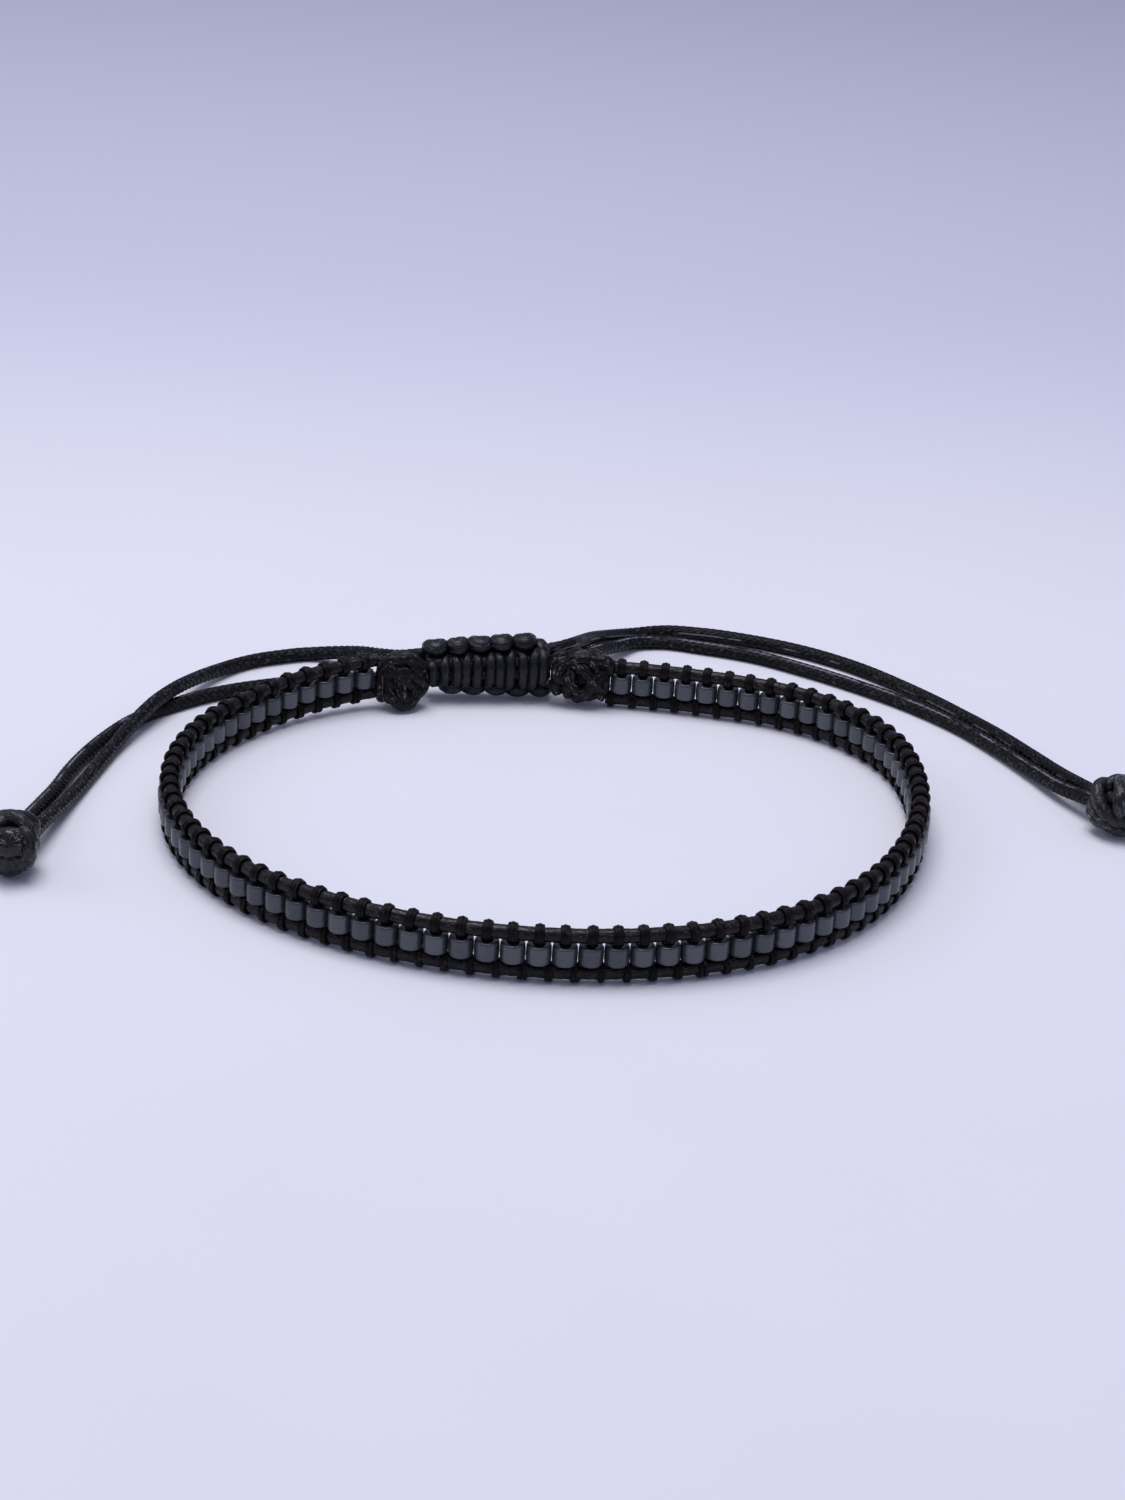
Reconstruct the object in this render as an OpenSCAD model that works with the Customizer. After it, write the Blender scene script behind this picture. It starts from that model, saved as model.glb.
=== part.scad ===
// Adjustable beaded bracelet: one row of cylinder beads laced between two waxed
// cords, a knot at each end of the row, a sliding knotted closure and four tails
// that end in two knots. It stands on the lower edge of its band.
// Millimetres. X runs to the right, Y to the back where the closure is, Z up.
// The origin is under the middle of the ring, at the height of the surface.

/* [Beads] */
// Number of beads in the row
bead_count = 84; // [76:1:92]
// Distance from one bead to the next along the band
pitch = 1.71; // [1.71:0.01:1.8]
// Outer diameter of a bead
bead_d = 1.6; // [1.4:0.05:1.6]
// Length of a bead, which stands upright in the band
bead_len = 1.35; // [1.2:0.05:1.5]
// Diameter of the hole through a bead
bead_bore = 0.8; // [0.7:0.05:0.9]
// Size of the slanted rim at both ends of a bead
bead_bevel = 0.12; // [0.06:0.01:0.16]

/* [Lacing] */
// Diameter of the thread's passes inside a bead
thread_d = 0.44; // [0.36:0.02:0.48]
// Thickness of the thread's turns round a cord
turn_t = 0.17; // [0.14:0.01:0.2]
// Width of the two turns side by side
turn_w = 0.62; // [0.54:0.02:0.7]
// How far a lower turn stands along the band from its bead, in bead distances
turn_lag = 0.42; // [0.4:0.01:0.5]

/* [Cords] */
// Diameter of the two cords along the edges of the band
cord_d = 1.0; // [0.8:0.05:1.1]
// Diameter of the four loose tails
tail_d = 1.05; // [0.9:0.05:1.05]

// Slope of the band's left end, which rises toward its knot, in degrees
rise_angle = 2.9; // [0:0.1:3]

/* [Closure] */
// Length of the sliding closure along the band
closure_len = 10.1; // [9.5:0.1:10.3]
// Thickness of the closure, across the band
closure_t = 3.3; // [3:0.1:3.5]
// Height of the closure at its low left end
closure_low = 4.5; // [4.2:0.1:4.8]
// Height of the closure at its high right end
closure_high = 5.8; // [5:0.1:5.9]
// Number of half knots along the closure
half_knots = 11; // [9:2:13]

/* [Knots] */
// Height of the two band knots
band_knot_h = 4.5; // [4:0.1:4.6]
// Thickness of the two band knots, across the band
band_knot_t = 3.4; // [3:0.1:3.6]
// Diameter of the two end knots
end_knot_d = 4.6; // [4:0.1:4.6]

/* [Hidden] */

cord_color = [0.10, 0.09, 0.09];
thread_color = [0.05, 0.05, 0.05];
bead_color = [0.30, 0.32, 0.35];

// gaps: turn to cord, and anything to a bead's end
turn_gap = 0.03;
end_gap = 0.15;

// heights of the band, from the surface up
turn_r = cord_d/2 + turn_gap + turn_t;
spacing = bead_len + cord_d + 2*end_gap;
low_z = turn_r;
high_z = low_z + spacing;
bead_z = low_z + cord_d/2 + end_gap;

// The band's centre line is a closed chain of seven tangent arcs, seen from
// above and run counterclockwise from the middle of the closure. The front and
// right arcs get the radius that closes the chain.
first_point = [-5.1, 22.4];
first_heading = 188;
TURN = 0; RADIUS = 1;
arcs = [
    // turn, radius
    [9, 40],     // back, left of the closure
    [130, 22.5], // left side
    [52, 0],     // front, closes the chain
    [46, 23.5],  // front right
    [35, 0],     // right side, closes the chain
    [64, 15.5],  // back right corner
    [24, 50],    // back, right of the closure
];
FRONT = 2; RIGHT = 4;
last = len(arcs) - 1;

function sum(v, n) = n <= 0 ? 0 : v[n - 1] + sum(v, n - 1);
turns = [for (a = arcs) a[TURN]];
headings = [for (i = [0:last]) first_heading + sum(turns, i)];

// way made good by an arc of radius 1 with a given heading and turn
function unit_way(h, t) = [sin(h + t) - sin(h), cos(h) - cos(h + t)];
ways = [for (i = [0:last]) unit_way(headings[i], turns[i])];
function open_way(i) = i > last ? [0, 0] : arcs[i][RADIUS]*ways[i] + open_way(i + 1);
gap_way = -open_way(0);
det = ways[FRONT].x*ways[RIGHT].y - ways[FRONT].y*ways[RIGHT].x;
front_r = (gap_way.x*ways[RIGHT].y - gap_way.y*ways[RIGHT].x)/det;
right_r = (ways[FRONT].x*gap_way.y - ways[FRONT].y*gap_way.x)/det;
plain_radii = [for (i = [0:last]) i == FRONT ? front_r : i == RIGHT ? right_r : arcs[i][RADIUS]];
function arc_len(r, t) = r*t*PI/180;
plain_len = sum([for (i = [0:last]) arc_len(plain_radii[i], turns[i])], last + 1);

// the chain is sized so that the row of beads fills it between the band knots
first_bead = 10.35;
band_len = 2*first_bead + (bead_count - 1)*pitch;
radii = plain_radii*band_len/plain_len;
lengths = [for (i = [0:last]) arc_len(radii[i], turns[i])];
starts = [for (i = [0:last + 1]) sum(lengths, i)];
function corner(i) = i == 0 ? first_point : corner(i - 1) + radii[i - 1]*ways[i - 1];
corners = [for (i = [0:last]) corner(i)];

function arc_at(s) = max([for (i = [0:last]) s >= starts[i] ? i : 0]);
// [x, y, heading] at a distance s along the centre line
function at(s, i) = let (t = (s - starts[i])/radii[i]*180/PI, p = corners[i]
    + radii[i]*unit_way(headings[i], t)) [p.x, p.y, headings[i] + t];
function band_at(s) = at(s, arc_at(s));

// children stand on the centre line, with X along the band, Y to the inside
module on_band(s, inward = 0, z = 0) {
    p = band_at(s < 0 ? s + band_len : s);
    translate([p.x, p.y, z]) rotate(p.z) translate([0, inward, 0]) children();
}

// places along the band, in mm from the middle of the closure, left positive
closure_mid = 0.2;
closure_in = -0.64;
closure_left_z = 2.65;
closure_right_z = 2.95;
left_knot_s = 7.4;
right_knot_s = -7.45;
knot_half = 1.7;
cord_start = left_knot_s + knot_half + 0.05;
cord_end = band_len + right_knot_s - knot_half - 0.05;

// From here to the left knot the band is a tilted arc. This is its height over
// the rest of the band.
rise_from = 21;
LEFT = 1;
function rise(s) = s > rise_from ? 0
    : radii[LEFT]*sin((rise_from - s)/radii[LEFT]*180/PI)*sin(rise_angle);

// Routes of the tails, from the closure's end faces to the end knots. Each row
// is a point of the cord: x, y, and the height of its underside.
LIFT = 2;
right_outer_route = [
    [0, 24.5, 3.45], [0.9, 25.05, 3.55], [1.4, 26.2, 3.3], [2, 28.6, 2.6],
    [2.85, 31.3, 1.85], [4.3, 34.25, 0.95], [6.3, 36.9, 0.2], [8.6, 38.3, 0],
    [12, 38.3, 0], [16.2, 37.3, 0], [20.5, 35.5, 0], [24.7, 32.6, 0],
    [28.6, 28.6, 0], [32.4, 23.8, 0], [35, 19.7, 0.15], [37.2, 15.5, 0.3],
    [39, 11.5, 0.6], [40.4, 8.4, 1]];
right_inner_route = [
    [0, 24.5, 2.3], [0.95, 25.1, 2.35], [1.65, 26.3, 2.15], [2.42, 28.35, 1.62],
    [3.5, 30.7, 1.08], [4.95, 33.25, 0.5], [6.5, 35.3, 0.1], [8.6, 35.9, 0],
    [11.8, 35.3, 0], [16.1, 34, 0], [20.3, 31.6, 0], [24.4, 28.7, 0],
    [28.4, 25.3, 0], [32.2, 21, 0], [34.8, 16.8, 0.1], [37, 12.5, 0.3],
    [38.6, 9.1, 0.6], [39.75, 7.1, 0.95]];
left_outer_route = [
    [-11.1, 22.95, 2.8], [-12.3, 23.4, 2.45], [-13.9, 24.8, 1.9], [-15.8, 26.8, 1.2],
    [-17.6, 28.3, 0.5], [-19.6, 28.9, 0.05], [-22.4, 27.9, 0], [-25, 26.2, 0],
    [-27, 23.6, 0.2], [-28.4, 20.5, 0.65], [-29.6, 17.2, 1.05], [-30.7, 14.3, 1.05],
    [-31.7, 11.6, 0.65], [-32.6, 8.5, 0.2], [-33.5, 3.9, 0], [-34.4, -1.6, 0.15],
    [-35, -5.9, 0.7], [-35.4, -8.8, 1.1]];
left_inner_route = [
    [-11.1, 22.95, 1.6], [-12.5, 23.1, 0.9], [-14.3, 23.6, 0.35], [-16.8, 23.8, 0],
    [-19.6, 23.1, 0], [-22.1, 22, 0], [-24.8, 20.6, 0], [-27.5, 18.7, 0],
    [-29.2, 17, 0], [-30.8, 15.1, 0], [-32.3, 12.8, 0], [-33.6, 9.7, 0],
    [-34.6, 6.4, 0], [-35.2, 3.2, 0.1], [-35.6, -0.6, 0.3], [-36.1, -4.6, 0.7],
    [-36.5, -8.2, 1.1]];

// tails leave the closure's ends at these heights of their undersides
outer_lift = [2.85, 3.35]; // left, right
inner_lift = [1.75, 2.25]; // left, right
exit_in = -1.44;

// end knots: x, y, heading of the cords that run into them
left_end = [-36.7, -12.8, -104];
right_end = [42.1, 4.1, -60];
neck_lift = 1.2;
neck_side = 0.54;

// One arc of the chain between two distances, as a round bar at height z.
module arc_bar(i, a, b, d) {
    r = radii[i];
    p = at(a, i);
    translate([p.x, p.y, 0]) rotate(p.z) translate([0, r, 0]) rotate(-90)
        rotate_extrude(angle = (b - a)/r*180/PI, $fn = 96)
            translate([r, 0]) circle(d = d, $fn = 48);
}

// The arcs and the tilted end meet in short sleeves, which hide a gap of a tenth
// of a millimetre. The tilted end's free face keeps a little room to the knot.
arc_gap = 0.05;
tilt_room = 0.03;
module sleeve() cylinder(h = 0.3, d = cord_d + 0.02, center = true, $fn = 48);

module tilted_end() {
    r = radii[LEFT];
    first = (tilt_room + cord_start - rise_from)/r*180/PI;
    rotate([0, rise_angle, 0]) translate([0, r, 0]) rotate(first - 90)
        rotate_extrude(angle = -first - arc_gap/r*180/PI, $fn = 96)
            translate([r, 0]) circle(d = cord_d, $fn = 48);
}

module edge_cord(z) {
    translate([0, 0, z]) union() {
        for (i = [LEFT:last])
            if (starts[i] < cord_end)
                arc_bar(i, max(starts[i], rise_from) + arc_gap,
                    min(starts[i + 1] - arc_gap, cord_end), cord_d);
        for (i = [LEFT + 1:last])
            if (starts[i] < cord_end)
                translate([corners[i].x, corners[i].y, 0]) rotate(headings[i])
                    rotate([0, 90, 0]) sleeve();
        on_band(rise_from) tilted_end();
        on_band(rise_from) rotate([0, 90 + rise_angle/2, 0]) sleeve();
    }
}

module upper_edge_cord() color(cord_color) edge_cord(high_z);

module lower_edge_cord() color(cord_color) edge_cord(low_z);

// A drilled cylinder bead with a slanted rim at both ends.
module bead() {
    r = bead_d/2;
    b = bead_bore/2;
    rotate_extrude($fn = 40) polygon([
        [b, 0.05], [b + 0.05, 0], [r - bead_bevel, 0], [r, bead_bevel],
        [r, bead_len - bead_bevel], [r - bead_bevel, bead_len],
        [b + 0.05, bead_len], [b, bead_len - 0.05]]);
}

module beads() {
    color(bead_color)
        for (k = [0:bead_count - 1]) let (s = first_bead + k*pitch)
            on_band(s, z = bead_z + rise(s)) bead();
}

// Two turns of thread side by side round a cord, pressed flat against the beads.
// The dip is how much lower than the turns the bead beside them stands.
module turn(z, side, dip = 0) {
    difference() {
        translate([-turn_w/2, 0, z]) rotate([0, 90, 0]) difference() {
            cylinder(h = turn_w, r = turn_r, $fn = 48);
            translate([0, 0, -1]) cylinder(h = turn_w + 2, r = cord_d/2 + turn_gap, $fn = 48);
        }
        translate([-1, -1, z - dip + side*(cord_d/2 + end_gap - 0.02) + (side < 0 ? -1 : 0)])
            cube([2, 2, 1]);
    }
}

// The thread of one bead: turns round the upper cord, passes down through the
// bead, a short crossing under it and turns round the lower cord past the bead.
module lacing_thread() {
    lag = turn_lag*pitch;
    strand_z = low_z + cord_d/2 + 0.035;
    color(thread_color)
        for (k = [0:bead_count - 1]) let (s = first_bead + k*pitch) union() {
            on_band(s, z = rise(s)) {
                turn(high_z, -1);
                translate([0, 0, strand_z + 0.04])
                    cylinder(h = bead_len + 0.18, d = thread_d, $fn = 24);
            }
            on_band(s + lag/2, z = rise(s + lag/2))
                translate([-lag/2 - 0.1, -0.15, strand_z]) cube([lag + 0.1, 0.3, 0.085]);
            on_band(s + lag, z = rise(s + lag)) turn(low_z, 1, rise(s + lag) - rise(s + pitch));
        }
}

// A closed wrap of cord round the band's direction, taller than it is wide.
module wrap(height, width, d) {
    straight = (height - width)/2;
    r = (width - d)/2;
    rotate([90, 0, 90]) {
        for (side = [0, 1]) rotate(180*side) translate([0, straight, 0])
            rotate_extrude(angle = 180, $fn = 64) translate([r, 0]) circle(d = d, $fn = 40);
        for (side = [-1, 1]) translate([side*r, straight, 0]) rotate([90, 0, 0])
            cylinder(h = 2*straight, d = d, $fn = 40);
    }
}

// An overhand knot in the doubled cord: three slanted wraps over a core, the two
// edge cords that run in on one side, at the lift over the band's usual height,
// and the two that run on to the closure.
module band_knot(toward, slant, z, lift, low_lobe, core) {
    wrap_d = 1.1;
    translate([0, 0, z]) rotate([0, 0, slant]) {
        for (k = [-1:1]) translate([0.95*k, 0, 0])
            wrap(band_knot_h - 0.25*abs(k), band_knot_t - 0.2*abs(k), wrap_d);
        for (side = [-1, 1]) translate([-1.35, 0, 0.6*side]) rotate([0, 90, 0])
            cylinder(h = 2.7, r = 1.2, $fn = 48);
    }
    // edge cords in
    for (h = [low_z, high_z]) translate([-toward*(knot_half - 0.03), 0, h + lift])
        rotate([0, toward*90, 0]) cylinder(h = 1.14, d = cord_d - 0.03, $fn = 40);
    // core cords on to the closure
    for (side = [-1, 1]) translate([toward*0.6, 0.25, z + 0.55*side])
        rotate([0, toward*90, 0]) cylinder(h = core, d = cord_d, $fn = 40);
    if (low_lobe > 0) translate([0.2, 1.1, low_lobe + 0.06]) sphere(r = low_lobe, $fn = 48);
}

module left_band_knot() {
    color(cord_color) on_band(left_knot_s, inward = 0.3) band_knot(-1, 9, 2.45, rise(cord_start), 1.2, 1.3);
}

module right_band_knot() {
    color(cord_color) on_band(right_knot_s, inward = -0.1) band_knot(1, -8, 2.5, 0, 0, 1.85);
}

// Side faces join each ring to the next, flat faces close both ends.
module loft(rings) {
    n = len(rings[0]);
    m = len(rings);
    polyhedron(
        points = [for (ring = rings) for (p = ring) p],
        faces = concat(
            [[for (j = [n - 1:-1:0]) j]],
            [for (i = [0:m - 2]) for (j = [0:n - 1]) [i*n + j, i*n + (j + 1)%n, (i + 1)*n + j]],
            [for (i = [0:m - 2]) for (j = [0:n - 1])
                [i*n + (j + 1)%n, (i + 1)*n + (j + 1)%n, (i + 1)*n + j]],
            [[for (j = [0:n - 1]) (m - 1)*n + j]]),
        convexity = 10);
}

// One cross section of the closure, x from its middle, left positive. A half
// knot makes one upright bar on the faces, two of them one lump on the edges.
function rounded(v, e) = sign(v)*pow(abs(v), e);
function closure_section(x) = let (
    u = 0.5 + x/closure_len,
    step = closure_len/half_knots,
    bar = abs(cos(180*x/step)),
    lump = abs(cos(90*x/step)),
    end = 1 - 0.1*pow(abs(2*x/closure_len), 10),
    w = closure_t/2*(0.9 + 0.1*bar)*end,
    h = (closure_high*(1 - u) + closure_low*u)/2*(0.88 + 0.12*lump)*end,
    z = closure_right_z*(1 - u) + closure_left_z*u)
    [for (j = [0:15]) let (a = 22.5*j)
        [x, -w*rounded(cos(a), 0.75), z + h*rounded(sin(a), 0.9)]];

module sliding_closure() {
    steps = 4*half_knots;
    color(cord_color) on_band(0, inward = closure_in) translate([closure_mid, 0, 0])
        loft([for (i = [0:steps]) closure_section(closure_len*(i/steps - 0.5))]);
}

// A tail is a tube of eight sides along its route. Its two end faces stand
// square to the closure's axis and to the knot's.
function unit(v) = v/norm(v);
function dir(a) = [cos(a), sin(a), 0];
function tube_ring(p, t) = let (side = unit(cross(t, [0, 0, 1])), up = cross(side, t))
    [for (j = [0:7]) p + tail_d/2*(cos(22.5 + 45*j)*side + sin(22.5 + 45*j)*up)];
module tail(first, route, final, start_dir, end_dir) {
    pts = [for (p = concat([first], route, [final])) [p.x, p.y, p[LIFT] + tail_d/2]];
    n = len(pts) - 1;
    color(cord_color) loft([for (i = [0:n]) tube_ring(pts[i],
        i == 0 ? start_dir : i == n ? end_dir
            : unit(unit(pts[i + 1] - pts[i]) + unit(pts[i] - pts[i - 1])))]);
}

// where a tail leaves the closure: side 1 is the left end, -1 the right
function exit_point(side, lift) = let (a = first_heading, x = closure_mid + side*closure_len/2)
    [first_point.x + x*cos(a) - exit_in*sin(a), first_point.y + x*sin(a) + exit_in*cos(a), lift];
// where it meets an end knot: side 1 is left of the cords' heading
function neck_point(knot, side) = let (a = knot.z, d = end_knot_d/2 + 0.02)
    [knot.x - d*cos(a) - side*neck_side*sin(a), knot.y - d*sin(a) + side*neck_side*cos(a), neck_lift];

module left_outer_tail() tail(exit_point(1, outer_lift[0]), left_outer_route,
    neck_point(left_end, 1), dir(first_heading), dir(left_end.z));

module left_inner_tail() tail(exit_point(1, inner_lift[0]), left_inner_route,
    neck_point(left_end, -1), dir(first_heading), dir(left_end.z));

module right_outer_tail() tail(exit_point(-1, outer_lift[1]), right_outer_route,
    neck_point(right_end, 1), dir(first_heading - 180), dir(right_end.z));

module right_inner_tail() tail(exit_point(-1, inner_lift[1]), right_inner_route,
    neck_point(right_end, -1), dir(first_heading - 180), dir(right_end.z));

// One cross section of an end knot, along its axis from the flat neck, where the
// two cords run in side by side, over a ball with one helical winding of cord.
ball_steps = 22;
function end_section(i) = let (
    r = end_knot_d/2,
    th = 26 + 144*(i - 1)/(ball_steps - 1),
    x = i == 0 ? -r - 0.02 : -r*cos(th),
    ball = i == 0 ? 0 : i == 1 ? 0.7 : 1,
    w = ball*r*sin(th) + (1 - ball)*(neck_side + tail_d/2),
    h = ball*r*sin(th) + (1 - ball)*tail_d/2,
    z = ball*r + (1 - ball)*(neck_lift + tail_d/2))
    [for (j = [0:19]) let (a = 18*j,
        f = i == 0 ? 1 : 0.9 + 0.1*abs(cos(180*x/winding + a/2)))
        [x, -w*f*cos(a), z + h*f*sin(a)]];
winding = 1.1;

// Two cords drawn up into a ball.
module end_knot(knot) translate([knot.x, knot.y, 0]) rotate(knot.z)
    loft([for (i = [0:ball_steps]) end_section(i)]);

module left_end_knot() color(cord_color) end_knot(left_end);

module right_end_knot() color(cord_color) end_knot(right_end);

upper_edge_cord();
lower_edge_cord();
beads();
lacing_thread();
left_band_knot();
right_band_knot();
sliding_closure();
left_outer_tail();
left_inner_tail();
right_outer_tail();
right_inner_tail();
left_end_knot();
right_end_knot();
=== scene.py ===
import bpy
import numpy as np
from mathutils import Matrix


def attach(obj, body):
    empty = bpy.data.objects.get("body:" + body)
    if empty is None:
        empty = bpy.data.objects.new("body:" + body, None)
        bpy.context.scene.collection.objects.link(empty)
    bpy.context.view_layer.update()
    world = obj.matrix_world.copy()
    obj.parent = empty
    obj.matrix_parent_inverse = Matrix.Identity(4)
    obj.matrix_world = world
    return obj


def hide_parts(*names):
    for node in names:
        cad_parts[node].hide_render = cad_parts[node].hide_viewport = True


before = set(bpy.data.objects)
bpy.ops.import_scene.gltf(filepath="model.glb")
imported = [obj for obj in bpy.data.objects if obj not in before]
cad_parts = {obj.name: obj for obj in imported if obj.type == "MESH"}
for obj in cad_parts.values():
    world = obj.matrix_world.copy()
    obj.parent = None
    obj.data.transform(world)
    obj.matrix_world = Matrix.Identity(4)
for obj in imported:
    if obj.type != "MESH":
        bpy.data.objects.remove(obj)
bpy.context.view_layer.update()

# Edge cords. Two waxed polyester cords, 1 mm thick, run along the band above and below
# the beads. Each is braided round from fine bundles and drawn through hot wax, which
# fills the braid and leaves a soft shine on the ridges. Sizes here are in millimetres.
MM = 0.001
UP = np.array([0.0, 0.0, 1.0])
CORD = 1.0
# heights of the two cords' middles
LOW, HIGH = 0.70, 3.35
BEADS, PITCH, FIRST_BEAD = 84, 1.71, 10.35
# the whole way round, closure included
BAND = 2 * FIRST_BEAD + (BEADS - 1) * PITCH
# where the band's left end starts to rise toward its knot, and how steeply
RISE_FROM, RISE_ANGLE = 21.0, np.radians(2.9)
# length of one stitch of the braid, and depth of the grooves between stitches
BRAID_REPEAT, BRAID_DEPTH = 0.62, 0.06
rng = np.random.default_rng(11)

# The band's seven arcs, from the middle of the closure round to the left. The radii
# given as 0, in front and on the right side, are those that close the ring.
FIRST_POINT, FIRST_HEADING = (-5.1, 22.4), 188
LEFT_SIDE, CLOSING = 1, [2, 4]
turns = np.radians([9, 130, 52, 46, 35, 64, 24])
radii = np.array([40, 22.5, 0, 23.5, 0, 15.5, 50])
heads = np.radians(FIRST_HEADING) + np.cumsum(turns) - turns
ways = np.stack([np.sin(heads + turns) - np.sin(heads), np.cos(heads) - np.cos(heads + turns)])
radii[CLOSING] = np.linalg.solve(ways[:, CLOSING], -ways @ radii)
radii *= BAND / (radii @ turns)
starts = np.cumsum(radii * turns) - radii * turns
corners = np.array(FIRST_POINT)[:, None] + np.cumsum(radii * ways, 1) - radii * ways


def band(s):
    """Where the band is at distances s, with its directions along and inward.

    The place is the arc's corner plus its radius times the way made by the turn since
    that corner.
    """
    s = np.asarray(s, float) % BAND
    i = np.searchsorted(starts, s, side="right") - 1
    h = heads[i] + (s - starts[i]) / radii[i]
    x = corners[0, i] + radii[i] * (np.sin(h) - np.sin(heads[i]))
    y = corners[1, i] + radii[i] * (np.cos(heads[i]) - np.cos(h))
    along = np.stack([np.cos(h), np.sin(h), 0 * h], -1)
    inward = np.stack([-np.sin(h), np.cos(h), 0 * h], -1)
    return np.stack([x, y, 0 * h], -1), along, inward


def rise_at(s):
    """How far the band's left end has risen toward its knot, at distances s.

    It is the arc's radius times the sine of its turn since the foot of the rise, times
    the sine of the slope.
    """
    turn = np.maximum(RISE_FROM - np.asarray(s, float), 0) / radii[LEFT_SIDE]
    return radii[LEFT_SIDE] * np.sin(turn) * np.sin(RISE_ANGLE)


def on_band(points):
    """Points given as distance along, distance inward and height, in the bracelet's frame."""
    middle, _, inward = band(points[..., 0])
    height = points[..., 2:] + rise_at(points[..., :1])
    return middle + points[..., 1:2] * inward + height * UP


def unit(v):
    """Each vector divided by its length."""
    return v / np.linalg.norm(v, axis=-1, keepdims=True)


def distances(path):
    """Distance along a path at each of its points: the running sum of the steps."""
    steps = np.linalg.norm(np.diff(path, axis=-2), axis=-1)
    return np.concatenate([0 * steps[..., :1], np.cumsum(steps, -1)], -1)


def braid(along, around):
    """Height of a round braid's surface, 0 to 1, by distance along and share of the way round.

    Four columns of V's run along it, and w goes from 0 at a column's middle to 1 at its
    borders. The stitches follow each other at the repeat, later by one of them at w = 1
    than at w = 0. A stitch is one minus the third power of the distance from its middle,
    and drops by half the fourth power of the distance from the middle of its half column.
    """
    w = np.abs(2 * np.mod(4 * around, 1) - 1)
    f = np.mod(along / BRAID_REPEAT + w, 1)
    return (1 - np.abs(2 * f - 1) ** 3) * (1 - 0.5 * (2 * w - 1) ** 4)


def tube(path, outward, wide, thick, sides, depth=0.0, tip=0.0, melted=0.0):
    """Rings of an ellipse carried along a path, as an array (strands, rings, sides, 5).

    The five numbers are the place, the height of the braid, and how far it is melted. A
    ring is the path plus wide times cosine along the side direction plus thick times
    sine along the outward one, made square to the slope. A braid sinks it by depth times
    one minus its height, and tip rounds that much of the last end as a quarter circle.
    """
    path = np.asarray(path, float)
    path = path[None] if path.ndim == 2 else path
    slope = unit(np.gradient(path, axis=-2))
    out = np.broadcast_to(outward, path.shape)
    out = unit(out - (out * slope).sum(-1, keepdims=True) * slope)
    side = np.cross(out, slope)
    turn = 2 * np.pi * np.arange(sides) / sides
    along = distances(path)
    if depth:
        height = braid(along[..., None], turn / (2 * np.pi))
    else:
        height = np.full(path.shape[:2] + (sides,), 0.5)
    wide, thick = (np.broadcast_to(w, path.shape[:2])[..., None] for w in (wide, thick))
    swell = 1 - depth * (1 - height) / np.minimum(wide, thick)
    if tip:
        left = np.clip((along[:, -1:] - along) / tip, 0.02, 1)[..., None]
        swell = swell * np.sqrt(1 - (1 - left) ** 2)
    place = path[:, :, None] + (swell * wide * np.cos(turn))[..., None] * side[:, :, None]
    place = place + (swell * thick * np.sin(turn))[..., None] * out[:, :, None]
    melt = np.broadcast_to(np.asarray(melted, float)[..., None], height.shape)
    return np.concatenate([place, height[..., None], melt[..., None]], -1)


def piece(name, grids, material, node, closed=()):
    """One object from grids of rings, in the place of a CAD node.

    Neighbouring points make quads and the sides close round. So do the rings of a grid
    listed in closed; in the others a fan to its middle closes each end ring. The UV map
    holds the distance along in mm and the share of the way round.
    """
    points, tones, quads, quad_uvs, caps, cap_uvs = [], [], [], [], [], []
    base = 0
    for number, grid in enumerate(grids):
        strands, rings, sides = grid.shape[:3]
        loop = number in closed
        index = base + np.arange(strands * rings * sides).reshape(strands, rings, sides)
        rows = np.append(np.arange(rings), 0) if loop else np.arange(rings)
        index = index[:, rows]
        middles = grid[..., :3].mean(2)[:, rows]
        u = np.broadcast_to(distances(middles)[..., None], index.shape)
        v = np.broadcast_to(np.arange(sides) / sides, index.shape)
        step = 1 / sides
        a, b = index[:, :-1], index[:, 1:]
        quads.append(np.stack([a, np.roll(a, -1, 2), np.roll(b, -1, 2), b], -1).reshape(-1, 4))
        u0, u1, v0 = u[:, :-1], u[:, 1:], v[:, 1:]
        quad_uvs.append(np.stack([u0, v0, u0, v0 + step, u1, v0 + step, u1, v0], -1).reshape(-1, 2))
        points.append(grid.reshape(-1, 5))
        tone = rng.random(strands)
        tones.append(np.repeat(tone, rings * sides))
        base += strands * rings * sides
        if loop:
            continue
        # the first ring's fan runs the other way round, so that both ends face outwards
        for row, order in ((0, (1, 0)), (-1, (0, 1))):
            ring = index[:, row]
            pair = (ring, np.roll(ring, -1, 1))
            hub = np.broadcast_to(base + np.arange(strands)[:, None], ring.shape)
            caps.append(np.stack([hub, pair[order[0]], pair[order[1]]], -1).reshape(-1, 3))
            cap_uvs.append(np.repeat(np.stack([u[:, row], v[:, row]], -1).reshape(-1, 2), 3, 0))
            points.append(grid[:, row].mean(1))
            tones.append(tone)
            base += strands
    points = np.concatenate(points)
    faces = np.concatenate(quads).tolist() + [f for c in caps for f in c.tolist()]
    mesh = bpy.data.meshes.new(name)
    mesh.from_pydata((points[:, :3] * MM).tolist(), [], faces)
    uv = mesh.uv_layers.new(name="strand")
    uv.data.foreach_set("uv", np.concatenate(quad_uvs + cap_uvs).astype(np.float32).ravel())
    values = {"tone": np.concatenate(tones), "relief": points[:, 3], "melted": points[:, 4]}
    for label, numbers in values.items():
        layer = mesh.attributes.new(label, "FLOAT", "POINT")
        layer.data.foreach_set("value", numbers.astype(np.float32))
    mesh.shade_smooth()
    obj = bpy.data.objects.new(name, mesh)
    bpy.context.scene.collection.objects.link(obj)
    mesh.materials.append(material)
    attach(obj, "root")
    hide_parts(node)
    return obj


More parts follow.
